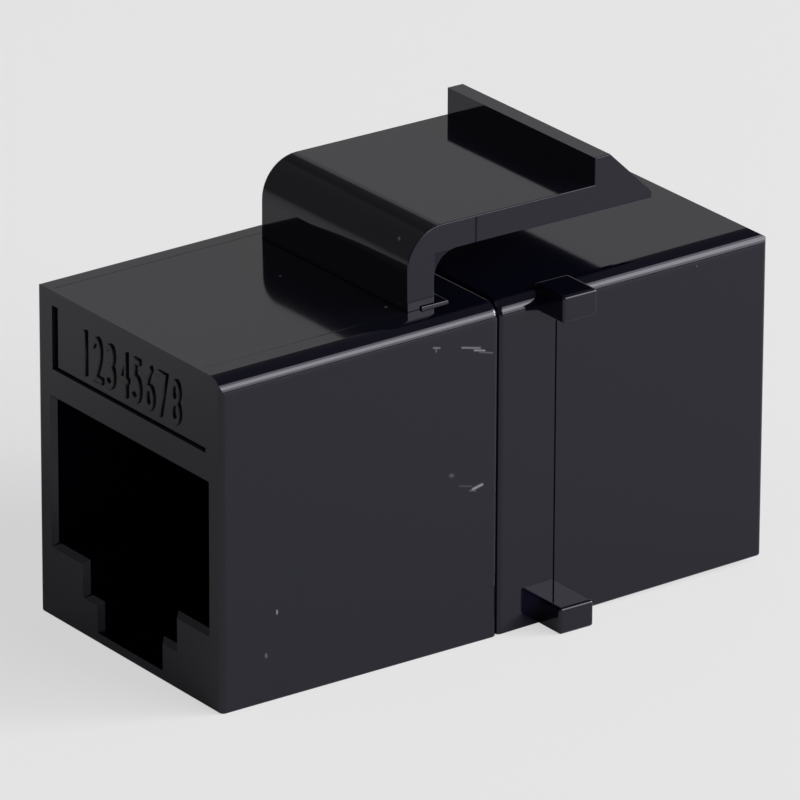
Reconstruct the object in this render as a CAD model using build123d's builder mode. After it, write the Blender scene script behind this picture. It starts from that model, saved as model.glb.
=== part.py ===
"""Keystone in-line coupler: two moulded half shells, a sprung keystone latch, and inside them
a small upright board that joins two eight-contact sockets back to back.

Millimetres. X runs along the body, from the labelled rear socket (-X) to the front socket
that shows through a wall plate (+X). Z is up. The origin lies on the base, under the middle.
"""
import os

from build123d import *

os.makedirs("parts", exist_ok=True)

# Body: what the photograph shows of the two shells
body_length = 30.3
body_width = 14.5
body_height = 16.0
top_rise = 0.4
nose_length = 0.65
nose_drop = 0.4
near_edge_radius = 0.8
far_edge_radius = 0.3
base_edge_radius = 0.1
end_edge_radius = 0.25
seam_edge_radius = 0.25
front_base_step = 0.03
front_base_draft = 0.27

# Label recess in the rear face
label_height = 3.1
label_margin = 1.2
label_drop = 0.7
label_depth = 0.16

# Socket and the plug it takes, tab down: walls around the plug's space, and the mouth's steps
side_wall = 1.2
socket_roof = 5.35
plug_clearance = 0.2
plug_floor = 3.7
tab_slot_width = 7.0
tab_slot_floor = 2.05
lever_slot_width = 4.7
lever_slot_floor = 0.5
mouth_thickness = 1.9
lead_in = 0.25
tab_pocket_length = 7.8

# Coring pockets that keep the moulding's walls even, beside the tab pocket
core_wall = 0.9
core_length = 11.0

# Contact wires
contact_count = 8
contact_pitch = 1.02
wire_diameter = 0.46
wire_clearance = 0.02
lower_row_rise = 1.25
upper_row_drop = 0.65
wire_bend_radius = 0.5
spring_start_drop = 0.45
spring_end_drop = 2.5
wire_end_gap = 0.3
tail_length = 0.5

# Contact carriers: a block over the plug and a wall behind it
carrier_height = 3.4
carrier_clearance = 0.05
carrier_wall = 0.9
carrier_setback = 1.15
nose_window_depth = 0.85
nose_window_margin = 0.6
comb_slot_width = 0.6
comb_slot_depth = 0.7
comb_slot_height = 2.6
standoff_length = 1.35
standoff_size = 1.2
standoff_inset = 1.35
standoff_rise = 1.5
peg_diameter = 0.9
peg_length = 0.8
peg_clearance = 0.05

# Circuit board across the middle
board_thickness = 1.0
board_gap = 0.1
wire_hole_clearance = 0.08
solder_radius = 0.42
solder_tip_radius = 0.27
solder_height = 0.42

# Lap joint between the shells
lap_lip = 0.6
lap_wall = 0.55
lap_clearance = 0.05
lap_length = 1.75
bead_radius = 0.15
bead_length = 6.0

# Lugs that stop the body behind the wall plate
lug_length = 1.9
lug_start = 2.4
lug_reach = 1.55
lug_height = 1.3
lug_rise = 0.45
lug_root = 0.7
lug_edge_radius = 0.15
side_line_offset = 2.9
side_line_width = 0.3
side_line_depth = 0.06

# Latch
latch_inset = 1.6
leg_offset = 3.2
leg_thickness = 1.5
arm_thickness = 1.3
arm_gap = 2.65
bend_outer_radius = 1.9
bend_inner_radius = 1.2
latch_edge_radius = 0.05
barb_offset = 6.45
barb_height = 1.3
barb_land = 0.85
tip_offset = 9.7
tip_thickness = 0.3
pad_height = 0.3
pad_side = 0.1
pad_front = 0.7
pad_edge_radius = 0.08
hinge_clearance = 0.03
hinge_end_clearance = 0.04

# Places worked out from those sizes
half_length = body_length / 2
half_width = body_width / 2
rear_face = -half_length
plug_width = body_width - 2 * side_wall - 2 * plug_clearance
plug_height = body_height - socket_roof - plug_floor - plug_clearance
socket_half = plug_width / 2 + plug_clearance
socket_ceiling = plug_floor + plug_height + plug_clearance
mouth_back = rear_face + mouth_thickness
label_width = body_width - 2 * label_margin
label_base = body_height - label_drop - label_height
latch_width = body_width - 2 * latch_inset
half_board = board_thickness / 2
carrier_back = -half_board - standoff_length
wall_front = carrier_back - carrier_wall
carrier_nose = -mouth_back - carrier_setback
bay_front = -carrier_nose - carrier_clearance
bay_top = socket_ceiling + carrier_height
standoff_height = plug_floor + standoff_rise
row_spacing = carrier_height - lower_row_rise - upper_row_drop
spring_end_height = socket_ceiling - spring_end_drop
wire_radius = wire_diameter / 2
contact_span = (contact_count - 1) * contact_pitch
hinge_height = body_height + pad_height
arm_underside = body_height + arm_gap
arm_top = arm_underside + arm_thickness
barb_top = arm_top + barb_height
leg_half = leg_thickness / 2


def contact_y(pin):
    """Place of a rear contact across the body, pin 1 on the left of the open socket."""
    return contact_span / 2 - (pin - 1) * contact_pitch


def contact_row(pin):
    """Height of a contact's tail: odd pins run in the lower row, even pins in the upper."""
    return socket_ceiling + lower_row_rise + (row_spacing if pin % 2 == 0 else 0)


def mouth_points(grow):
    """Corners of the stepped mouth, all but its floor moved outwards by grow."""
    right = [
        (socket_half + grow, socket_ceiling + grow),
        (socket_half + grow, plug_floor - grow),
        (tab_slot_width / 2 + grow, plug_floor - grow),
        (tab_slot_width / 2 + grow, tab_slot_floor - grow),
        (lever_slot_width / 2 + grow, tab_slot_floor - grow),
        (lever_slot_width / 2 + grow, lever_slot_floor),
    ]
    left = [(-y, z) for y, z in reversed(right)]
    return right + left


def top_at(x):
    """Height of the body's top, which is body_height at the rear and rises towards the front."""
    return body_height + top_rise * (x - rear_face) / body_length


def round_top(shell):
    """Rounds the two edges along a shell's top, the near one more."""
    sides = shell.faces().filter_by(Axis.Y).sort_by(Axis.Y)
    fillet(sides[0].edges().sort_by(Axis.Z)[-1], radius=near_edge_radius)
    sides = shell.faces().filter_by(Axis.Y).sort_by(Axis.Y)
    fillet(sides[-1].edges().sort_by(Axis.Z)[-1], radius=far_edge_radius)


def round_base(shell):
    """Rounds the two edges along a shell's base."""
    base_lines = shell.faces().sort_by(Axis.Z)[0].edges().filter_by(GeomType.LINE).sort_by(Axis.Y)
    fillet([base_lines[0], base_lines[-1]], radius=base_edge_radius)


# Space inside one shell, drawn for the rear one: mouth, plug, tab pocket, carrier bay and cores
with BuildPart() as socket_space:
    with BuildSketch(Plane.YZ.offset(rear_face)):
        Polygon(*mouth_points(lead_in), align=None)
    with BuildSketch(Plane.YZ.offset(rear_face + lead_in)):
        Polygon(*mouth_points(0), align=None)
    loft(ruled=True)
    with BuildSketch(Plane.YZ.offset(rear_face + lead_in)):
        Polygon(*mouth_points(0), align=None)
    extrude(amount=mouth_thickness - lead_in)
    with BuildSketch(Plane.YZ.offset(mouth_back)):
        with Locations((0, plug_floor)):
            Rectangle(2 * socket_half, socket_ceiling - plug_floor, align=(Align.CENTER, Align.MIN))
    extrude(amount=half_length - mouth_thickness)
    with BuildSketch(Plane.YZ.offset(mouth_back)):
        with Locations((0, lever_slot_floor)):
            Rectangle(tab_slot_width, plug_floor - lever_slot_floor, align=(Align.CENTER, Align.MIN))
    extrude(amount=tab_pocket_length)
    with BuildSketch(Plane.YZ.offset(bay_front)):
        with Locations((0, plug_floor)):
            Rectangle(2 * socket_half, bay_top - plug_floor, align=(Align.CENTER, Align.MIN))
    extrude(amount=-bay_front)
    core_inner = tab_slot_width / 2 + core_wall
    core_width = half_width - core_wall - core_inner
    with BuildSketch(Plane.YZ):
        with Locations((core_inner + core_width / 2, core_wall), (-core_inner - core_width / 2, core_wall)):
            Rectangle(core_width, plug_floor - 2 * core_wall, align=(Align.CENTER, Align.MIN))
    extrude(amount=-core_length)

# Rear shell: labelled face, socket, female half of the lap joint and the latch's root pad
with BuildPart() as rear_housing:
    with BuildSketch(Plane.XZ):
        Polygon((rear_face, 0), (0, 0), (0, top_at(0)), (rear_face, body_height), align=None)
    extrude(amount=half_width, both=True)
    round_top(rear_housing)
    with BuildSketch(Plane.XY):
        with Locations((rear_face / 2, 0)):
            rear_plan = Rectangle(half_length, body_width)
        fillet(rear_plan.vertices().group_by(Axis.X)[0], radius=end_edge_radius)
    extrude(amount=body_height + top_rise, mode=Mode.INTERSECT)
    fillet(rear_housing.faces().sort_by(Axis.X)[-1].edges().sort_by(Axis.Z)[1:], radius=seam_edge_radius)
    round_base(rear_housing)
    add(socket_space.part, mode=Mode.SUBTRACT)
    with BuildSketch(Plane.YZ):
        with Locations((0, lap_lip)):
            Rectangle(body_width - 2 * lap_lip, body_height - 2 * lap_lip, align=(Align.CENTER, Align.MIN))
    extrude(amount=-lap_length - lap_clearance, mode=Mode.SUBTRACT)
    with BuildSketch(Plane.XY.offset(body_height / 2)):
        with Locations((-lap_length / 2, half_width - lap_lip), (-lap_length / 2, lap_lip - half_width)):
            Circle(bead_radius + lap_clearance)
    extrude(amount=bead_length / 2 + lap_clearance, both=True, mode=Mode.SUBTRACT)
    with BuildSketch(Plane.YZ.offset(rear_face)):
        with Locations((0, label_base)):
            Rectangle(label_width, label_height, align=(Align.CENTER, Align.MIN))
    extrude(amount=label_depth, mode=Mode.SUBTRACT)
    with BuildSketch(Plane.XY.offset(body_height)):
        with Locations((-leg_offset, 0)):
            Rectangle(leg_half + pad_front, latch_width + 2 * pad_side, align=(Align.MIN, Align.CENTER))
    extrude(amount=pad_height)
    fillet(rear_housing.faces().sort_by(Axis.Z)[-1].edges().sort_by(Axis.X)[1:], radius=pad_edge_radius)
    with BuildSketch(Plane.XZ):
        with Locations((-leg_offset, hinge_height)):
            Circle(leg_half + hinge_clearance)
    extrude(amount=latch_width / 2 + hinge_end_clearance, both=True, mode=Mode.SUBTRACT)
rear_housing.part.label = "rear_housing"
export_step(rear_housing.part, "parts/rear_housing.step")

# One lug, rounded on every edge, reaching inwards far enough to root in the shell's wall
lug_depth = lug_reach + lug_root
with BuildPart() as lug:
    Box(lug_length, lug_depth, lug_height, align=(Align.MIN, Align.MAX, Align.MAX))
    fillet(lug.edges(), radius=lug_edge_radius)

# Front shell: drafted underneath, with the spigot of the lap joint and the four lugs
with BuildPart() as front_housing:
    with BuildSketch(Plane.XZ):
        with BuildLine():
            Polyline(
                (0, front_base_step),
                (half_length, front_base_step + front_base_draft),
                (half_length, top_at(half_length) - nose_drop),
                (half_length - nose_length, top_at(half_length - nose_length)),
                (0, top_at(0)),
                close=True,
            )
        make_face()
    extrude(amount=half_width, both=True)
    round_top(front_housing)
    with BuildSketch(Plane.XY):
        with Locations((half_length / 2, 0)):
            front_plan = Rectangle(half_length, body_width)
        fillet(front_plan.vertices().group_by(Axis.X)[-1], radius=end_edge_radius)
    extrude(amount=body_height + top_rise, mode=Mode.INTERSECT)
    fillet(front_housing.faces().sort_by(Axis.X)[0].edges().sort_by(Axis.Z)[1:], radius=seam_edge_radius)
    round_base(front_housing)
    mirror(socket_space.part, about=Plane.YZ, mode=Mode.SUBTRACT)
    spigot_width = body_width - 2 * lap_lip - 2 * lap_clearance
    spigot_height = body_height - 2 * lap_lip - 2 * lap_clearance
    with BuildSketch(Plane.YZ):
        with Locations((0, body_height / 2)):
            Rectangle(spigot_width, spigot_height)
            Rectangle(spigot_width - 2 * lap_wall, spigot_height - 2 * lap_wall, mode=Mode.SUBTRACT)
    extrude(amount=-lap_length)
    with BuildSketch(Plane.XY.offset(body_height / 2)):
        with Locations((-lap_length / 2, spigot_width / 2), (-lap_length / 2, -spigot_width / 2)):
            Circle(bead_radius)
    extrude(amount=bead_length / 2, both=True)
    with Locations((side_line_offset + side_line_width / 2, 0, body_height / 2)):
        for side in (-1, 1):
            with Locations((0, side * (half_width - side_line_depth / 2), 0)):
                Box(
                    side_line_width,
                    side_line_depth,
                    body_height - 2 * lug_height,
                    mode=Mode.SUBTRACT,
                )
    lug_inner = half_width - lug_root
    for lug_top in (body_height + lug_rise, lug_height):
        near_lug = lug.part.moved(Location((lug_start, -lug_inner, lug_top)))
        add(near_lug)
        mirror(near_lug, about=Plane.XZ)
front_housing.part.label = "front_housing"
export_step(front_housing.part, "parts/front_housing.step")

# Latch: leg, arm, barb and ramp in one moulding, on a round foot that rocks in the root pad
with BuildPart() as latch_arm:
    with BuildSketch(Plane.XZ):
        with BuildLine():
            back = -leg_offset - leg_half
            front = -leg_offset + leg_half
            rise = Line((back, hinge_height), (back, arm_top - bend_outer_radius))
            outer = RadiusArc(rise @ 1, (back + bend_outer_radius, arm_top), bend_outer_radius)
            top = Polyline(
                outer @ 1,
                (barb_offset, arm_top),
                (barb_offset, barb_top),
                (barb_offset + barb_land, barb_top),
                (tip_offset, arm_underside + tip_thickness),
                (tip_offset, arm_underside),
                (front + bend_inner_radius, arm_underside),
            )
            inner = RadiusArc(top @ 1, (front, arm_underside - bend_inner_radius), -bend_inner_radius)
            fall = Line(inner @ 1, (front, hinge_height))
            foot = ThreePointArc(fall @ 1, (-leg_offset, hinge_height - leg_half), rise @ 0)
        make_face()
    extrude(amount=latch_width / 2, both=True)
    fillet(latch_arm.faces().filter_by(Axis.Y).edges(), radius=latch_edge_radius)
latch_arm.part.label = "latch_arm"
export_step(latch_arm.part, "parts/latch_arm.step")

# Contact carrier: top block, back wall with the comb, two stand-offs and one locating peg
carrier_base = socket_ceiling + carrier_clearance
carrier_top = bay_top - carrier_clearance
carrier_half = socket_half - carrier_clearance
standoff_y = carrier_half - standoff_inset
with BuildPart() as rear_contact_carrier:
    with BuildSketch(Plane.YZ.offset(-carrier_nose)):
        with Locations((0, carrier_base)):
            Rectangle(2 * carrier_half, carrier_top - carrier_base, align=(Align.CENTER, Align.MIN))
    extrude(amount=carrier_nose + carrier_back)
    with BuildSketch(Plane.YZ.offset(wall_front)):
        with Locations((0, plug_floor + carrier_clearance)):
            Rectangle(
                2 * carrier_half,
                carrier_top - plug_floor - carrier_clearance,
                align=(Align.CENTER, Align.MIN),
            )
    extrude(amount=carrier_wall)
    window_width = contact_span + wire_diameter + 2 * nose_window_margin
    with BuildSketch(Plane.YZ.offset(-carrier_nose)):
        with Locations((0, carrier_base)):
            Rectangle(window_width, carrier_top - carrier_base, align=(Align.CENTER, Align.MIN))
    extrude(amount=nose_window_depth, mode=Mode.SUBTRACT)
    with BuildSketch(Plane.YZ.offset(carrier_back)):
        with Locations(*[(contact_y(pin), contact_row(pin)) for pin in range(1, contact_count + 1)]):
            Circle(wire_radius + wire_clearance)
    extrude(amount=-carrier_nose, mode=Mode.SUBTRACT)
    with BuildSketch(Plane.YZ.offset(wall_front)):
        with Locations(*[(contact_y(pin), carrier_base) for pin in range(1, contact_count + 1)]):
            Rectangle(comb_slot_width, comb_slot_height + wire_radius, align=(Align.CENTER, Align.MAX))
    extrude(amount=comb_slot_depth, mode=Mode.SUBTRACT)
    with BuildSketch(Plane.YZ.offset(carrier_back)):
        with Locations((standoff_y, standoff_height), (-standoff_y, standoff_height)):
            Rectangle(standoff_size, standoff_size)
    extrude(amount=standoff_length)
    with BuildSketch(Plane.YZ.offset(-half_board)):
        with Locations((standoff_y, standoff_height)):
            Circle(peg_diameter / 2)
    extrude(amount=peg_length)
rear_contact_carrier.part.label = "rear_contact_carrier"
export_step(rear_contact_carrier.part, "parts/rear_contact_carrier.step")

with BuildPart() as front_contact_carrier:
    add(rear_contact_carrier.part.rotate(Axis.Z, 180))
front_contact_carrier.part.label = "front_contact_carrier"
export_step(front_contact_carrier.part, "parts/front_contact_carrier.step")

# Contact wires: tail through the board, run through the carrier, bend at its nose, and a spring
# that slopes back under the block and ends in the comb. The front set is the rear set turned round.
nose_line = -carrier_nose + nose_window_depth - wire_radius - wire_clearance
for pin in range(1, contact_count + 1):
    with BuildPart() as rear_contact:
        with BuildLine(Plane.XZ.offset(-contact_y(pin))):
            wire_line = FilletPolyline(
                (half_board + tail_length, contact_row(pin)),
                (nose_line, contact_row(pin)),
                (nose_line, socket_ceiling - spring_start_drop),
                (wall_front + wire_end_gap, spring_end_height),
                radius=wire_bend_radius,
            )
        with BuildSketch(Plane(origin=wire_line @ 0, z_dir=wire_line % 0)):
            Circle(wire_radius)
        sweep()
    rear_contact.part.label = f"rear_contact_{pin}"
    export_step(rear_contact.part, f"parts/rear_contact_{pin}.step")

    with BuildPart() as front_contact:
        add(rear_contact.part.rotate(Axis.Z, 180))
    front_contact.part.label = f"front_contact_{pin}"
    export_step(front_contact.part, f"parts/front_contact_{pin}.step")

# Circuit board: two rows of holes that take the tails from both sides, and two peg holes
rear_holes = [(contact_y(pin), contact_row(pin)) for pin in range(1, contact_count + 1)]
front_holes = [(-y, z) for y, z in rear_holes]
with BuildPart() as circuit_board:
    with BuildSketch(Plane.YZ.offset(-half_board)):
        with Locations((0, plug_floor + board_gap)):
            Rectangle(
                2 * (socket_half - board_gap),
                bay_top - plug_floor - 2 * board_gap,
                align=(Align.CENTER, Align.MIN),
            )
        with Locations(*rear_holes, *front_holes):
            Circle(wire_radius + wire_hole_clearance, mode=Mode.SUBTRACT)
        with Locations((standoff_y, standoff_height), (-standoff_y, standoff_height)):
            Circle(peg_diameter / 2 + peg_clearance, mode=Mode.SUBTRACT)
    extrude(amount=board_thickness)
circuit_board.part.label = "circuit_board"
export_step(circuit_board.part, "parts/circuit_board.step")

# Solder cones round the tails, on the far side of the board from their own carrier
solder_bore = wire_radius + wire_clearance
with BuildPart() as solder_cone:
    with BuildSketch(Plane.XZ):
        Polygon(
            (solder_bore, 0),
            (solder_radius, 0),
            (solder_tip_radius, solder_height),
            (solder_bore, solder_height),
            align=None,
        )
    revolve(axis=Axis.Z)

with BuildPart() as rear_solder_joints:
    for y, z in rear_holes:
        add(solder_cone.part.moved(Location((half_board, y, z), (0, 90, 0))))
rear_solder_joints.part.label = "rear_solder_joints"
export_step(rear_solder_joints.part, "parts/rear_solder_joints.step")

with BuildPart() as front_solder_joints:
    add(rear_solder_joints.part.rotate(Axis.Z, 180))
front_solder_joints.part.label = "front_solder_joints"
export_step(front_solder_joints.part, "parts/front_solder_joints.step")
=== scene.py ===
"""Dresses the keystone in-line coupler: finishes for every moulding, wire and board, raised pin
numbers in the label recess, and a pale stage with soft light and the camera.

Blender units are metres. Sizes that are easier to read in millimetres are multiplied by MM.
X runs from the labelled rear socket to the front socket, Z is up, the base stands on Z = 0.
"""
import math

import bmesh
import bpy
from mathutils import Matrix, Vector


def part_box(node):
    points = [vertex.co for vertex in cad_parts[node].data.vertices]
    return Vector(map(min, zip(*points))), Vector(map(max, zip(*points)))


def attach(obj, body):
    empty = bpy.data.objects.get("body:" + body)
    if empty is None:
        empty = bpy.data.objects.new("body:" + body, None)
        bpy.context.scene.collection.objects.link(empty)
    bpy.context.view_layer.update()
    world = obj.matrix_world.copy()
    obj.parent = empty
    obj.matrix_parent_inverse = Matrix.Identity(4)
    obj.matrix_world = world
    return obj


bl_info = {
    "name": "Keystone coupler dressing",
    "version": (1, 0, 0),
    "blender": (4, 5, 0),
    "location": "3D View > Sidebar > Coupler",
    "description": "Finishes, pin numbers, stage and camera for a keystone in-line coupler",
    "category": "Object",
}

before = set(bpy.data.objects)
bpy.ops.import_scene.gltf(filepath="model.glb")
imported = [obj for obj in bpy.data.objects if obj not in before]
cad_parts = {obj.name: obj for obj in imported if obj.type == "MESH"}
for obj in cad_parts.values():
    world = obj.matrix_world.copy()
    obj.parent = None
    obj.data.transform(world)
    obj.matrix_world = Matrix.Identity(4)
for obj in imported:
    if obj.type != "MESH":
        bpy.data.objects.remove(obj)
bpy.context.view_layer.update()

MM = 0.001
BODY = "coupler_body"
SHELL_NODES = ("rear_housing", "front_housing", "latch_arm")
CARRIER_NODES = ("rear_contact_carrier", "front_contact_carrier")
SOLDER_NODES = ("rear_solder_joints", "front_solder_joints")
CONTACT_NODES = sorted(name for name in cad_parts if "_contact_" in name and name[-1].isdigit())


# Node helpers


def new_node(tree, kind, inputs=None, **settings):
    """Adds a node, sets its properties and then its inputs, by name or by number."""
    node = tree.nodes.new(kind)
    for key, value in settings.items():
        setattr(node, key, value)
    for key, value in (inputs or {}).items():
        node.inputs[key].default_value = value
    return node


def chain(tree, *pairs):
    """Links each (output socket, input socket) pair."""
    for output, target in pairs:
        tree.links.new(output, target)


def new_group(name, inputs, outputs):
    """A shader node group with named sockets: {name: (type, default)} in, {name: type} out."""
    group = bpy.data.node_groups.new(name, "ShaderNodeTree")
    for label, (kind, default) in inputs.items():
        socket = group.interface.new_socket(label, in_out="INPUT", socket_type=kind)
        socket.default_value = default
    for label, kind in outputs.items():
        group.interface.new_socket(label, in_out="OUTPUT", socket_type=kind)
    source = group.nodes.new("NodeGroupInput")
    sink = group.nodes.new("NodeGroupOutput")
    return group, source.outputs, sink.inputs


def place_group(tree, group, inputs=None):
    """Places a node group in a material with its own values."""
    node = tree.nodes.new("ShaderNodeGroup")
    node.node_tree = group
    for key, value in (inputs or {}).items():
        node.inputs[key].default_value = value
    return node


def math_node(tree, operation, first, second=None, clamp=False):
    """A Math node fed by sockets or numbers; returns its output."""
    node = new_node(tree, "ShaderNodeMath", operation=operation, use_clamp=clamp)
    for index, value in enumerate((first, second)):
        if value is None:
            continue
        if isinstance(value, (int, float)):
            node.inputs[index].default_value = value
        else:
            tree.links.new(value, node.inputs[index])
    return node.outputs[0]


def range_node(tree, value, low, high):
    """Maps 0..1 onto low..high."""
    node = new_node(tree, "ShaderNodeMapRange", {"To Min": low, "To Max": high})
    chain(tree, (value, node.inputs["Value"]))
    return node.outputs["Result"]


def mix_colours(tree, factor, first, second):
    """Mixes two colours, each a socket or a value, by a factor."""
    node = new_node(tree, "ShaderNodeMix", data_type="RGBA")
    for name, value in (("A", first), ("B", second)):
        socket = next(s for s in node.inputs if s.name == name and s.type == "RGBA")
        if isinstance(value, bpy.types.NodeSocket):
            chain(tree, (value, socket))
        else:
            socket.default_value = (*value, 1.0)
    chain(tree, (factor, node.inputs["Factor"]))
    return next(s for s in node.outputs if s.type == "RGBA")


def shade(colour, factor):
    """A colour made lighter or darker."""
    return tuple(channel * factor for channel in colour)


def new_material(name):
    """A material with a Principled shader, and its position on the piece in millimetres."""
    material = bpy.data.materials.new(name)
    material.use_nodes = True
    tree = material.node_tree
    shader = tree.nodes["Principled BSDF"]
    place = new_node(tree, "ShaderNodeTexCoord")
    scale = new_node(tree, "ShaderNodeVectorMath", operation="SCALE")
    scale.inputs["Scale"].default_value = 1 / MM
    chain(tree, (place.outputs["Object"], scale.inputs[0]))
    return material, tree, shader, scale.outputs[0]


# Effects shared by the materials


def skin_group():
    """Moulded skin: the slow waviness of a cooled face and the fine bite of the tool's steel."""
    group, source, sink = new_group(
        "Moulded skin",
        {
            "Position": ("NodeSocketVector", (0.0, 0.0, 0.0)),
            "Wave size": ("NodeSocketFloat", 3.0),
            "Wave depth": ("NodeSocketFloat", 0.5),
            "Bite size": ("NodeSocketFloat", 0.1),
            "Bite depth": ("NodeSocketFloat", 0.1),
        },
        {"Height": "NodeSocketFloat", "Tone": "NodeSocketFloat"},
    )
    wave_scale = math_node(group, "DIVIDE", 1.0, source["Wave size"])
    bite_scale = math_node(group, "DIVIDE", 1.0, source["Bite size"])
    wave = new_node(group, "ShaderNodeTexNoise", {"Detail": 2.0, "Roughness": 0.45})
    bite = new_node(group, "ShaderNodeTexNoise", {"Detail": 3.0, "Roughness": 0.6})
    chain(
        group,
        (source["Position"], wave.inputs["Vector"]),
        (source["Position"], bite.inputs["Vector"]),
        (wave_scale, wave.inputs["Scale"]),
        (bite_scale, bite.inputs["Scale"]),
    )
    waves = math_node(group, "MULTIPLY", wave.outputs["Fac"], source["Wave depth"])
    bites = math_node(group, "MULTIPLY", bite.outputs["Fac"], source["Bite depth"])
    chain(group, (math_node(group, "ADD", waves, bites), sink["Height"]))
    chain(group, (wave.outputs["Fac"], sink["Tone"]))
    return group


# A speck's radius as a share of the largest one, from and to, and how far its middle stays full
SPECK_SHARES = (0.35, 1.15)
SPECK_FULLNESS = 1.6


def dust_group():
    """Loose dust: one speck in each chosen cell of a loose grid, each with its own size."""
    group, source, sink = new_group(
        "Loose dust",
        {
            "Position": ("NodeSocketVector", (0.0, 0.0, 0.0)),
            "Spacing": ("NodeSocketFloat", 1.5),
            "Speck": ("NodeSocketFloat", 0.03),
            "Share": ("NodeSocketFloat", 0.3),
        },
        {"Mask": "NodeSocketFloat"},
    )
    cells = new_node(group, "ShaderNodeTexVoronoi", feature="F1")
    scale = math_node(group, "DIVIDE", 1.0, source["Spacing"])
    chain(group, (source["Position"], cells.inputs["Vector"]), (scale, cells.inputs["Scale"]))
    split = new_node(group, "ShaderNodeSeparateColor")
    chain(group, (cells.outputs["Color"], split.inputs[0]))
    kept = math_node(group, "LESS_THAN", split.outputs[0], source["Share"])
    share = range_node(group, split.outputs[1], *SPECK_SHARES)
    radius = math_node(group, "MULTIPLY", share, source["Speck"])
    relative = math_node(group, "DIVIDE", radius, source["Spacing"])
    fade = math_node(group, "DIVIDE", cells.outputs["Distance"], relative)
    inside = math_node(group, "SUBTRACT", SPECK_FULLNESS, fade, clamp=True)
    chain(group, (math_node(group, "MULTIPLY", inside, kept), sink["Mask"]))
    return group


def stroke_group():
    """One scratch or caught speck: the space within a width of the line between two points."""
    group, source, sink = new_group(
        "Stroke",
        {
            "Position": ("NodeSocketVector", (0.0, 0.0, 0.0)),
            "From": ("NodeSocketVector", (0.0, 0.0, 0.0)),
            "To": ("NodeSocketVector", (1.0, 0.0, 0.0)),
            "Width": ("NodeSocketFloat", 0.1),
            "Strength": ("NodeSocketFloat", 1.0),
        },
        {"Mask": "NodeSocketFloat"},
    )

    def vector(operation, first, second, result=0):
        """A Vector Math node fed by two sockets; returns one of its outputs."""
        node = new_node(group, "ShaderNodeVectorMath", operation=operation)
        chain(group, (first, node.inputs[0]), (second, node.inputs[1]))
        return node.outputs[result]

    ahead = vector("SUBTRACT", source["To"], source["From"])
    offset = vector("SUBTRACT", source["Position"], source["From"])
    reach = vector("DOT_PRODUCT", offset, ahead, 1)
    length = vector("DOT_PRODUCT", ahead, ahead, 1)
    along = math_node(group, "DIVIDE", reach, length, clamp=True)
    nearest = new_node(group, "ShaderNodeVectorMath", operation="SCALE")
    chain(group, (ahead, nearest.inputs[0]), (along, nearest.inputs["Scale"]))
    distance = new_node(group, "ShaderNodeVectorMath", operation="LENGTH")
    chain(group, (vector("SUBTRACT", offset, nearest.outputs[0]), distance.inputs[0]))
    fade = math_node(group, "DIVIDE", distance.outputs["Value"], source["Width"])
    inside = math_node(group, "SUBTRACT", 1.0, fade, clamp=True)
    chain(group, (math_node(group, "MULTIPLY", inside, source["Strength"]), sink["Mask"]))
    return group


def inside_box(tree, axes, low, high):
    """1 inside the box between two corners, otherwise 0."""
    mask = None
    for value, start, end in zip(axes, low, high):
        over = math_node(tree, "GREATER_THAN", value, start)
        under = math_node(tree, "LESS_THAN", value, end)
        side = math_node(tree, "MULTIPLY", over, under)
        mask = side if mask is None else math_node(tree, "MULTIPLY", mask, side)
    return mask


def all_strokes(tree, stroke_tree, position, strokes):
    """The strongest of many strokes at each place."""
    strongest = None
    for start, end, width, strength in strokes:
        stroke = place_group(tree, stroke_tree, {
            "From": start, "To": end, "Width": width, "Strength": strength,
        })
        chain(tree, (position, stroke.inputs["Position"]))
        mask = stroke.outputs["Mask"]
        strongest = mask if strongest is None else math_node(tree, "MAXIMUM", strongest, mask)
    return strongest


def set_bump(tree, shader, height, depth):
    """Feeds a height in millimetres to the shader's normal."""
    bump = new_node(tree, "ShaderNodeBump", {"Strength": 1.0, "Distance": depth * MM})
    chain(tree, (height, bump.inputs["Height"]), (bump.outputs["Normal"], shader.inputs["Normal"]))


# Marks that handling left on the near side, the top and the bend of the latch, in millimetres:
# from, to, width, strength
MARKS = (
    ((-3.64, -7.25, 14.91), (-3.31, -7.25, 14.83), 0.07, 0.5),
    ((-3.50, -7.25, 14.88), (-3.50, -7.25, 14.69), 0.06, 0.4),
    ((-2.07, -7.25, 14.56), (-1.08, -7.25, 14.32), 0.07, 0.6),
    ((-1.38, -7.25, 14.28), (-0.83, -7.25, 14.14), 0.07, 0.8),
    ((-1.10, -7.25, 14.13), (-0.38, -7.25, 13.92), 0.06, 0.3),
    ((-2.66, -7.25, 8.54), (-2.55, -7.25, 8.50), 0.13, 0.25),
    ((-1.41, -7.25, 7.58), (-0.91, -7.25, 7.68), 0.10, 1.0),
    ((-2.14, -7.25, 7.90), (-1.51, -7.25, 7.74), 0.06, 0.15),
    ((-1.58, -7.25, 7.55), (-1.28, -7.25, 7.48), 0.06, 0.35),
    ((-12.16, -7.25, 4.32), (-12.16, -7.25, 4.18), 0.07, 0.9),
    ((-12.76, -7.25, 2.34), (-12.74, -7.25, 2.24), 0.10, 0.4),
    ((-3.54, -4.47, 19.19), (-3.52, -4.43, 19.22), 0.11, 1.0),
    ((-5.97, 1.33, 16.12), (-5.93, 1.33, 16.12), 0.10, 0.6),
    ((-4.34, -4.56, 16.14), (-4.28, -4.50, 16.14), 0.10, 1.0),
)


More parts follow.
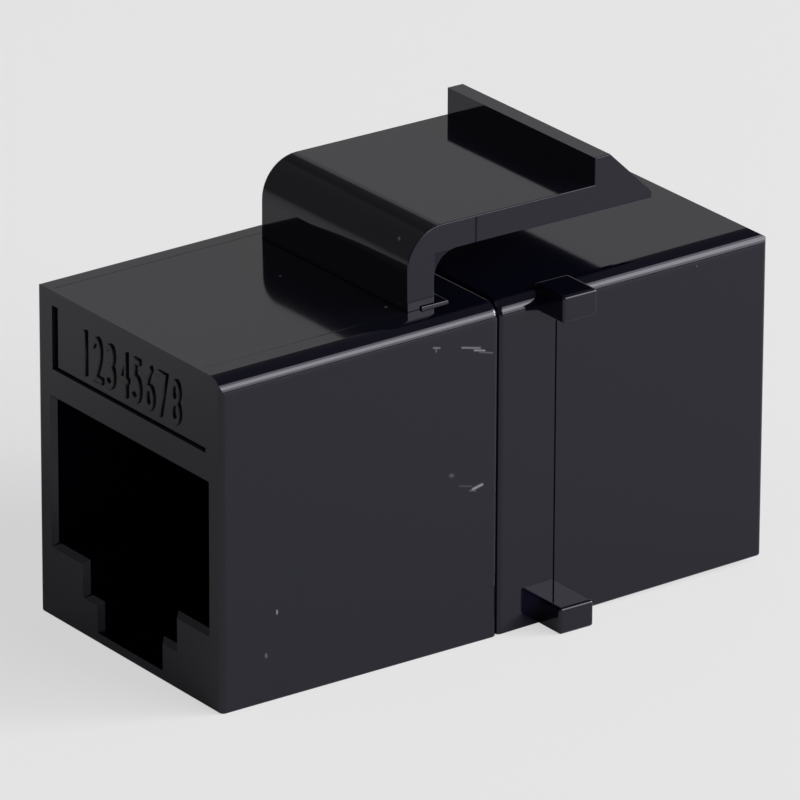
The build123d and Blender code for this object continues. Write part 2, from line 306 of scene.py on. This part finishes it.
# Fine matt lines that the tool's joints left along the rear shell's top, and the fine groove that
# they left across the arm's side, with its depth, in millimetres
CREASES = (
    ((-14.95, 6.20, 16.003), (-0.25, 6.20, 16.197), 0.075, 0.5),
    ((-14.95, -5.55, 16.003), (-4.30, -5.55, 16.143), 0.075, 0.35),
)
GROOVES = (
    ((-0.15, -5.65, 18.66), (-0.15, -5.65, 19.94), 0.06, 1.0),
)
GROOVE_DEPTH = 0.03

# Where the tool left the shells matt, as boxes in millimetres: under the latch's arm, and on the
# low walls of the label recess and its numbers
MATT_BOXES = (
    ((-2.44, -6.0, 17.0), (9.69, 6.0, 18.66), 1.0),
    ((-15.145, -6.06, 12.19), (-14.995, 6.06, 15.31), 1.0),
)

# The shell's refraction, faint blue sheen, spread of roughness, what a scratch or speck adds to
# it, and how strongly loose dust shows
SHELL_IOR = 1.58
SHEEN_TINT = (0.92, 0.90, 1.0, 1.0)
SHEEN_SPREAD = 0.015
MARK_ROUGHNESS = 0.35
DUST_STRENGTH = 0.5


def shell_plastic(settings, groups):
    """Gloss black moulding: near-black, polished, slightly wavy, with scratches and dust."""
    material, tree, shader, position = new_material("shell_plastic")
    skin = place_group(tree, groups["skin"], {
        "Wave size": settings.wave_size, "Wave depth": 1.0, "Bite size": 0.12, "Bite depth": 0.03,
    })
    dust = place_group(tree, groups["dust"], {
        "Spacing": 2.2, "Speck": 0.035, "Share": settings.dust_share,
    })
    chain(tree, (position, skin.inputs["Position"]), (position, dust.inputs["Position"]))
    marks = all_strokes(tree, groups["stroke"], position, MARKS)
    creases = all_strokes(tree, groups["stroke"], position, CREASES)
    grooves = all_strokes(tree, groups["stroke"], position, GROOVES)
    dusty = math_node(tree, "MULTIPLY", dust.outputs["Mask"], DUST_STRENGTH)
    worn = math_node(tree, "MAXIMUM", marks, dusty)
    colour = mix_colours(tree, worn, settings.plastic_colour, settings.dust_colour)
    low_sheen = settings.plastic_roughness - SHEEN_SPREAD
    high_sheen = settings.plastic_roughness + SHEEN_SPREAD
    sheen = range_node(tree, skin.outputs["Tone"], low_sheen, high_sheen)
    scuffed = math_node(tree, "ADD", sheen, math_node(tree, "MULTIPLY", worn, MARK_ROUGHNESS))
    axes = new_node(tree, "ShaderNodeSeparateXYZ")
    chain(tree, (position, axes.inputs[0]))
    rough = math_node(tree, "MAXIMUM", scuffed, creases)
    for low, high, roughness in MATT_BOXES:
        matt = math_node(tree, "MULTIPLY", inside_box(tree, axes.outputs, low, high), roughness)
        rough = math_node(tree, "MAXIMUM", rough, matt, clamp=True)
    chain(tree, (colour, shader.inputs["Base Color"]), (rough, shader.inputs["Roughness"]))
    waves = math_node(tree, "MULTIPLY", skin.outputs["Height"], settings.wave_depth)
    cut = math_node(tree, "MULTIPLY", grooves, GROOVE_DEPTH)
    set_bump(tree, shader, math_node(tree, "SUBTRACT", waves, cut), depth=1.0)
    shader.inputs["IOR"].default_value = SHELL_IOR
    shader.inputs["Specular Tint"].default_value = SHEEN_TINT
    return material


def carrier_plastic(settings, groups):
    """Matt black insert moulding with a fine spark-eroded grain."""
    material, tree, shader, position = new_material("carrier_plastic")
    skin = place_group(tree, groups["skin"], {
        "Wave size": 1.5, "Wave depth": 0.3, "Bite size": 0.06, "Bite depth": 1.0,
    })
    chain(tree, (position, skin.inputs["Position"]))
    colour = mix_colours(
        tree, skin.outputs["Tone"], settings.carrier_colour, shade(settings.carrier_colour, 1.5)
    )
    chain(tree, (colour, shader.inputs["Base Color"]))
    chain(tree, (range_node(tree, skin.outputs["Tone"], low=0.5, high=0.62), shader.inputs["Roughness"]))
    set_bump(tree, shader, skin.outputs["Height"], depth=0.004)
    return material


def contact_gold(settings, groups):
    """Gold flash over nickel wire, with faint drawing marks and duller patches."""
    material, tree, shader, position = new_material("contact_gold")
    skin = place_group(tree, groups["skin"], {
        "Wave size": 0.8, "Wave depth": 0.4, "Bite size": 0.05, "Bite depth": 0.5,
    })
    chain(tree, (position, skin.inputs["Position"]))
    colour = mix_colours(
        tree, skin.outputs["Tone"], settings.gold_colour, shade(settings.gold_colour, 0.8)
    )
    chain(tree, (colour, shader.inputs["Base Color"]))
    chain(tree, (range_node(tree, skin.outputs["Tone"], low=0.18, high=0.34), shader.inputs["Roughness"]))
    set_bump(tree, shader, skin.outputs["Height"], depth=0.002)
    shader.inputs["Metallic"].default_value = 1.0
    return material


def board_laminate(settings, groups):
    """Green lacquer over glass cloth: the weave shows as a faint check across the board."""
    material, tree, shader, position = new_material("board_laminate")
    threads = {"Scale": 1.6, "Distortion": 0.4}
    warp = new_node(tree, "ShaderNodeTexWave", threads, bands_direction="Y")
    weft = new_node(tree, "ShaderNodeTexWave", threads, bands_direction="Z")
    chain(tree, (position, warp.inputs["Vector"]), (position, weft.inputs["Vector"]))
    weave = math_node(tree, "MULTIPLY", warp.outputs["Fac"], weft.outputs["Fac"])
    skin = place_group(tree, groups["skin"], {
        "Wave size": 2.0, "Wave depth": 0.6, "Bite size": 0.1, "Bite depth": 0.2,
    })
    chain(tree, (position, skin.inputs["Position"]))
    colour = mix_colours(tree, weave, settings.board_colour, shade(settings.board_colour, 1.4))
    chain(tree, (colour, shader.inputs["Base Color"]))
    chain(tree, (range_node(tree, skin.outputs["Tone"], low=0.3, high=0.42), shader.inputs["Roughness"]))
    set_bump(tree, shader, weave, depth=0.006)
    return material


def solder_tin(settings, groups):
    """Bright tin with the slight frost of a cooled joint."""
    material, tree, shader, position = new_material("solder_tin")
    skin = place_group(tree, groups["skin"], {
        "Wave size": 0.5, "Wave depth": 0.6, "Bite size": 0.08, "Bite depth": 0.4,
    })
    chain(tree, (position, skin.inputs["Position"]))
    colour = mix_colours(
        tree, skin.outputs["Tone"], settings.solder_colour, shade(settings.solder_colour, 0.85)
    )
    chain(tree, (colour, shader.inputs["Base Color"]))
    chain(tree, (range_node(tree, skin.outputs["Tone"], low=0.2, high=0.4), shader.inputs["Roughness"]))
    set_bump(tree, shader, skin.outputs["Height"], depth=0.004)
    shader.inputs["Metallic"].default_value = 1.0
    return material


def dress(names, material):
    """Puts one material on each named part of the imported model."""
    for name in names:
        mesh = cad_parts[name].data
        mesh.materials.clear()
        mesh.materials.append(material)


def surface_groups():
    """The effects that the finishes share, each built on its first use."""
    built = bpy.data.node_groups
    return {
        "skin": built.get("Moulded skin") or skin_group(),
        "dust": built.get("Loose dust") or dust_group(),
        "stroke": built.get("Stroke") or stroke_group(),
    }


# What a user would change


def colour_property(name, description, default):
    """A colour that the panel shows."""
    return bpy.props.FloatVectorProperty(
        name=name, description=description, default=default, size=3, min=0.0, max=1.0, subtype="COLOR"
    )


class CouplerFinish(bpy.types.PropertyGroup):
    """Colours and textures of the finishes"""

    plastic_colour: colour_property(
        "Shell colour", "Colour of the gloss mouldings", (0.0026, 0.0024, 0.0085)
    )
    dust_colour: colour_property("Dust colour", "Colour of scratches and dust", (0.30, 0.30, 0.32))
    carrier_colour: colour_property(
        "Carrier colour", "Colour of the contact inserts", (0.010, 0.010, 0.011)
    )
    gold_colour: colour_property("Contact colour", "Colour of the plated wires", (0.83, 0.60, 0.24))
    board_colour: colour_property("Board colour", "Colour of the lacquered board", (0.020, 0.13, 0.055))
    solder_colour: colour_property("Solder colour", "Colour of the tin joints", (0.62, 0.62, 0.60))
    plastic_roughness: bpy.props.FloatProperty(
        name="Shell roughness", description="Roughness of the gloss mouldings", default=0.075,
        min=0.0, max=1.0, subtype="FACTOR",
    )
    wave_size: bpy.props.FloatProperty(
        name="Wave size", description="Length of the faces' waviness, in millimetres", default=5.0, min=0.1
    )
    wave_depth: bpy.props.FloatProperty(
        name="Wave depth", description="Depth of the faces' waviness, in millimetres", default=0.004, min=0.0
    )
    dust_share: bpy.props.FloatProperty(
        name="Dust share", description="Share of places that hold a speck", default=0.10, min=0.0, max=1.0,
        subtype="FACTOR",
    )


class CouplerLabel(bpy.types.PropertyGroup):
    """Sizes of the raised pin numbers"""

    characters: bpy.props.StringProperty(
        name="Numbers", description="Plain pin numbers in the recess", default="12345678"
    )
    height: bpy.props.FloatProperty(
        name="Height", description="Height of a number", default=2.2 * MM, min=0.0, unit="LENGTH"
    )
    pitch: bpy.props.FloatProperty(
        name="Pitch", description="Distance from one number to the next", default=1.02 * MM, min=0.0,
        unit="LENGTH",
    )
    narrowing: bpy.props.FloatProperty(
        name="Narrowing", description="Width of the numbers as a share of the font's", default=0.5, min=0.05,
        max=1.0, subtype="FACTOR",
    )
    relief: bpy.props.FloatProperty(
        name="Relief", description="How far the numbers stand out of the recess's floor", default=0.10 * MM,
        min=0.0, unit="LENGTH",
    )
    root: bpy.props.FloatProperty(
        name="Root", description="How far the numbers reach into the floor behind them", default=0.05 * MM,
        min=0.0, unit="LENGTH",
    )
    recess_depth: bpy.props.FloatProperty(
        name="Recess depth", description="Depth of the recess in the rear face", default=0.16 * MM, min=0.0,
        unit="LENGTH",
    )
    middle: bpy.props.FloatProperty(
        name="Middle", description="Height of the recess's middle over the base", default=13.75 * MM, min=0.0,
        unit="LENGTH",
    )


class CouplerStage(bpy.types.PropertyGroup):
    """Floor, light and camera"""

    floor_colour: colour_property("Floor colour", "Colour of the plain floor", (0.86, 0.86, 0.87))
    floor_size: bpy.props.FloatProperty(
        name="Floor size", description="Width of the floor", default=6.0, min=0.1, unit="LENGTH"
    )
    seen_white: bpy.props.FloatProperty(
        name="Seen white", description="Share of white in the floor that the camera sees", default=0.6,
        min=0.0, max=1.0, subtype="FACTOR",
    )
    mirrored_white: bpy.props.FloatProperty(
        name="Mirrored white", description="Share of white in the floor that gloss mirrors", default=0.05,
        min=0.0, max=1.0, subtype="FACTOR",
    )
    sky_strength: bpy.props.FloatProperty(
        name="Sky strength", description="Brightness of the even light from all round", default=0.09, min=0.0
    )
    azimuth: bpy.props.FloatProperty(
        name="Camera azimuth", description="Turn of the camera from the side towards the rear socket",
        default=math.radians(35.87), unit="ROTATION",
    )
    elevation: bpy.props.FloatProperty(
        name="Camera elevation", description="Angle of the camera over the floor",
        default=math.radians(22.09), unit="ROTATION",
    )
    roll: bpy.props.FloatProperty(
        name="Camera roll", description="Tilt of the picture", default=math.radians(-0.24), unit="ROTATION"
    )
    distance: bpy.props.FloatProperty(
        name="Camera distance", description="From the camera to its aim", default=415.1 * MM, min=0.01,
        unit="LENGTH",
    )
    lens: bpy.props.FloatProperty(
        name="Lens", description="Focal length, in millimetres", default=410.3, min=1.0
    )


# Pieces


def make_number(character):
    """One number as a solid with softened edges, and its lowest and highest corners."""
    curve = bpy.data.curves.new("number", "FONT")
    curve.body = character
    curve.size = 1.0
    curve.align_x = "CENTER"
    curve.resolution_u = 6
    curve.extrude = 0.025
    curve.bevel_depth = 0.022
    curve.bevel_resolution = 1
    curve.offset = -0.016
    holder = bpy.data.objects.new("number", curve)
    bpy.context.scene.collection.objects.link(holder)
    bpy.context.view_layer.update()
    mesh = bpy.data.meshes.new_from_object(holder.evaluated_get(bpy.context.evaluated_depsgraph_get()))
    bpy.data.objects.remove(holder)
    bpy.data.curves.remove(curve)
    work = bmesh.new()
    work.from_mesh(mesh)
    bpy.data.meshes.remove(mesh)
    bmesh.ops.remove_doubles(work, verts=work.verts, dist=1e-5)
    low = Vector([min(v.co[i] for v in work.verts) for i in range(3)])
    high = Vector([max(v.co[i] for v in work.verts) for i in range(3)])
    return work, low, high


def make_numbers(label):
    """The row of numbers, standing out of the label recess's floor and rooted in it."""
    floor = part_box("rear_housing")[0].x + label.recess_depth
    last = len(label.characters) - 1
    joined = bmesh.new()
    for index, character in enumerate(label.characters):
        work, low, high = make_number(character)
        tall = label.height / (high.y - low.y)
        wide = tall * label.narrowing
        deep = (label.relief + label.root) / (high.z - low.z)
        across = (last / 2 - index) * label.pitch
        place = Matrix((
            (0, 0, -deep, floor + label.root),
            (-wide, 0, 0, across + wide * (low.x + high.x) / 2),
            (0, tall, 0, label.middle - tall * (low.y + high.y) / 2),
            (0, 0, 0, 1),
        ))
        bmesh.ops.translate(work, verts=work.verts, vec=(0, 0, -low.z))
        bmesh.ops.transform(work, matrix=place, verts=work.verts)
        part = bpy.data.meshes.new("part")
        work.to_mesh(part)
        work.free()
        joined.from_mesh(part)
        bpy.data.meshes.remove(part)
    bmesh.ops.recalc_face_normals(joined, faces=joined.faces)
    return joined


class COUPLER_OT_label(bpy.types.Operator):
    """Adds the raised pin numbers to the label recess"""

    bl_idname = "coupler.label"
    bl_label = "Pin numbers"

    def execute(self, context):
        finish = bpy.data.materials.get("shell_plastic")
        if finish is None:
            raise RuntimeError("the shell finish is made first")
        work = make_numbers(context.scene.coupler_label)
        mesh = bpy.data.meshes.new("pin_numbers")
        work.to_mesh(mesh)
        work.free()
        mesh.materials.append(finish)
        piece = bpy.data.objects.new("pin_numbers", mesh)
        context.scene.collection.objects.link(piece)
        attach(piece, BODY)
        return {"FINISHED"}


class COUPLER_OT_shells(bpy.types.Operator):
    """Gives both shells and the latch their gloss black finish"""

    bl_idname = "coupler.shells"
    bl_label = "Shells and latch"

    def execute(self, context):
        dress(SHELL_NODES, shell_plastic(context.scene.coupler_finish, surface_groups()))
        return {"FINISHED"}


class COUPLER_OT_carriers(bpy.types.Operator):
    """Gives the contact carriers their matt black finish"""

    bl_idname = "coupler.carriers"
    bl_label = "Contact carriers"

    def execute(self, context):
        dress(CARRIER_NODES, carrier_plastic(context.scene.coupler_finish, surface_groups()))
        return {"FINISHED"}


class COUPLER_OT_contacts(bpy.types.Operator):
    """Gives the contact wires their gold finish"""

    bl_idname = "coupler.contacts"
    bl_label = "Contact wires"

    def execute(self, context):
        dress(CONTACT_NODES, contact_gold(context.scene.coupler_finish, surface_groups()))
        return {"FINISHED"}


class COUPLER_OT_board(bpy.types.Operator):
    """Gives the board its green lacquer and the joints their tin"""

    bl_idname = "coupler.board"
    bl_label = "Board and solder"

    def execute(self, context):
        settings = context.scene.coupler_finish
        dress(("circuit_board",), board_laminate(settings, surface_groups()))
        dress(SOLDER_NODES, solder_tin(settings, surface_groups()))
        return {"FINISHED"}


# Stage


# Where the camera looks, and its shift to the right and upwards from the line to it
CAMERA_AIM = Vector((-0.303, 0.0, 7.918)) * MM
CAMERA_OFFSET = (0.060 * MM, 1.216 * MM)


def aim_axes(azimuth, elevation):
    """Directions from the aim to the camera, to its right and up, for a camera with no roll."""
    back = Vector((
        -math.sin(azimuth) * math.cos(elevation),
        -math.cos(azimuth) * math.cos(elevation),
        math.sin(elevation),
    ))
    right = Vector((math.cos(azimuth), -math.sin(azimuth), 0.0))
    return back, right, back.cross(right)


def add_camera(stage):
    """The photograph's view: a long lens looking down on the labelled end from the near side."""
    back, right, up = aim_axes(stage.azimuth, stage.elevation)
    turn = stage.roll
    across = right * math.cos(turn) - up * math.sin(turn)
    above = right * math.sin(turn) + up * math.cos(turn)
    data = bpy.data.cameras.new("view_camera")
    data.lens = stage.lens
    data.sensor_width = 36.0
    data.clip_start = 0.01
    data.clip_end = 20.0
    camera = bpy.data.objects.new("view_camera", data)
    bpy.context.scene.collection.objects.link(camera)
    place = CAMERA_AIM + back * stage.distance + across * CAMERA_OFFSET[0] + above * CAMERA_OFFSET[1]
    turned = Matrix((across, above, back)).transposed().to_4x4()
    camera.matrix_world = Matrix.Translation(place) @ turned
    bpy.context.scene.camera = camera


# Soft boxes: name, direction from the object (azimuth and elevation in the camera's sense, in
# degrees), distance, width and height in metres, radiance
SOFT_BOXES = (
    ("key_box", -37.0, 25.0, 0.80, 0.90, 0.22, 2.9),
    ("key_glow", -37.0, 24.0, 0.82, 0.90, 0.56, 2.1),
    ("right_box", -60.0, 19.0, 0.80, 0.30, 0.32, 10.0),
    ("back_box", -144.1, 16.0, 1.00, 1.30, 0.52, 0.30),
    ("left_box", 157.0, 22.0, 1.00, 0.85, 0.82, 0.06),
    ("side_box", 110.0, 55.0, 1.00, 0.80, 0.80, 0.15),
)


def add_soft_box(name, azimuth, elevation, distance, width, height, radiance):
    """A rectangular lamp of an even radiance that faces the object."""
    back, right, up = aim_axes(math.radians(azimuth), math.radians(elevation))
    data = bpy.data.lights.new(name, "AREA")
    data.shape = "RECTANGLE"
    data.size = width
    data.size_y = height
    data.energy = radiance * math.pi * width * height
    lamp = bpy.data.objects.new(name, data)
    bpy.context.scene.collection.objects.link(lamp)
    turned = Matrix((right, up, back)).transposed().to_4x4()
    lamp.matrix_world = Matrix.Translation(back * distance) @ turned


def floor_material(stage):
    """Plain pale floor that keeps its shadows, lifted to white where it is seen or mirrored."""
    material, tree, shader, position = new_material("floor_paint")
    tone = new_node(tree, "ShaderNodeTexNoise", {"Scale": 0.02, "Detail": 2.0})
    chain(tree, (position, tone.inputs["Vector"]))
    colour = mix_colours(tree, tone.outputs["Fac"], stage.floor_colour, shade(stage.floor_colour, 0.99))
    chain(tree, (colour, shader.inputs["Base Color"]))
    shader.inputs["Roughness"].default_value = 0.9
    shader.inputs["Specular IOR Level"].default_value = 0.1
    rays = new_node(tree, "ShaderNodeLightPath")
    seen = math_node(tree, "MULTIPLY", rays.outputs["Is Camera Ray"], stage.seen_white)
    glossy, clear = rays.outputs["Is Glossy Ray"], rays.outputs["Is Transmission Ray"]
    mirrors = math_node(tree, "MAXIMUM", glossy, clear)
    mirrored = math_node(tree, "MULTIPLY", mirrors, stage.mirrored_white)
    share = math_node(tree, "ADD", seen, mirrored, clamp=True)
    white = new_node(tree, "ShaderNodeEmission", {"Color": (1.0, 1.0, 1.0, 1.0), "Strength": 1.0})
    blend = new_node(tree, "ShaderNodeMixShader")
    chain(
        tree,
        (share, blend.inputs[0]),
        (shader.outputs[0], blend.inputs[1]),
        (white.outputs[0], blend.inputs[2]),
        (blend.outputs[0], tree.nodes["Material Output"].inputs["Surface"]),
    )
    material.cycles.emission_sampling = "NONE"
    return material


class COUPLER_OT_stage(bpy.types.Operator):
    """Adds the floor, the soft light and the camera"""

    bl_idname = "coupler.stage"
    bl_label = "Stage and camera"

    def execute(self, context):
        scene = context.scene
        stage = scene.coupler_stage
        work = bmesh.new()
        bmesh.ops.create_grid(work, x_segments=1, y_segments=1, size=stage.floor_size / 2)
        mesh = bpy.data.meshes.new("floor")
        work.to_mesh(mesh)
        work.free()
        floor = bpy.data.objects.new("floor", mesh)
        scene.collection.objects.link(floor)
        mesh.materials.append(floor_material(stage))
        world = bpy.data.worlds.new("even_sky")
        world.use_nodes = True
        sky = world.node_tree.nodes["Background"]
        sky.inputs["Color"].default_value = (1.0, 1.0, 1.0, 1.0)
        sky.inputs["Strength"].default_value = stage.sky_strength
        scene.world = world
        for values in SOFT_BOXES:
            add_soft_box(*values)
        add_camera(stage)
        scene.view_settings.view_transform = "Standard"
        return {"FINISHED"}


class COUPLER_PT_panel(bpy.types.Panel):
    """Lists the coupler's steps and the values that they read"""

    bl_label = "Keystone coupler"
    bl_idname = "COUPLER_PT_panel"
    bl_space_type = "VIEW_3D"
    bl_region_type = "UI"
    bl_category = "Coupler"

    def draw(self, context):
        for name in GROUPS:
            settings = getattr(context.scene, name)
            box = self.layout.box()
            for key in settings.bl_rna.properties.keys():
                if key not in ("rna_type", "name"):
                    box.prop(settings, key)
        for step in STEPS:
            self.layout.operator(step.bl_idname)


GROUPS = {"coupler_finish": CouplerFinish, "coupler_label": CouplerLabel, "coupler_stage": CouplerStage}
STEPS = (
    COUPLER_OT_shells,
    COUPLER_OT_carriers,
    COUPLER_OT_contacts,
    COUPLER_OT_board,
    COUPLER_OT_label,
    COUPLER_OT_stage,
)


def register():
    """Registers the classes and hangs their settings on the scene."""
    for kind in (*GROUPS.values(), *STEPS, COUPLER_PT_panel):
        bpy.utils.register_class(kind)
    for name, kind in GROUPS.items():
        setattr(bpy.types.Scene, name, bpy.props.PointerProperty(type=kind))


def unregister():
    """Takes the settings and the classes away again."""
    for name in GROUPS:
        delattr(bpy.types.Scene, name)
    for kind in reversed((*GROUPS.values(), *STEPS, COUPLER_PT_panel)):
        bpy.utils.unregister_class(kind)


def main():
    """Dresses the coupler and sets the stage."""
    register()
    bpy.ops.coupler.shells()
    bpy.ops.coupler.carriers()
    bpy.ops.coupler.contacts()
    bpy.ops.coupler.board()
    bpy.ops.coupler.label()
    bpy.ops.coupler.stage()


if __name__ == "__main__":
    main()
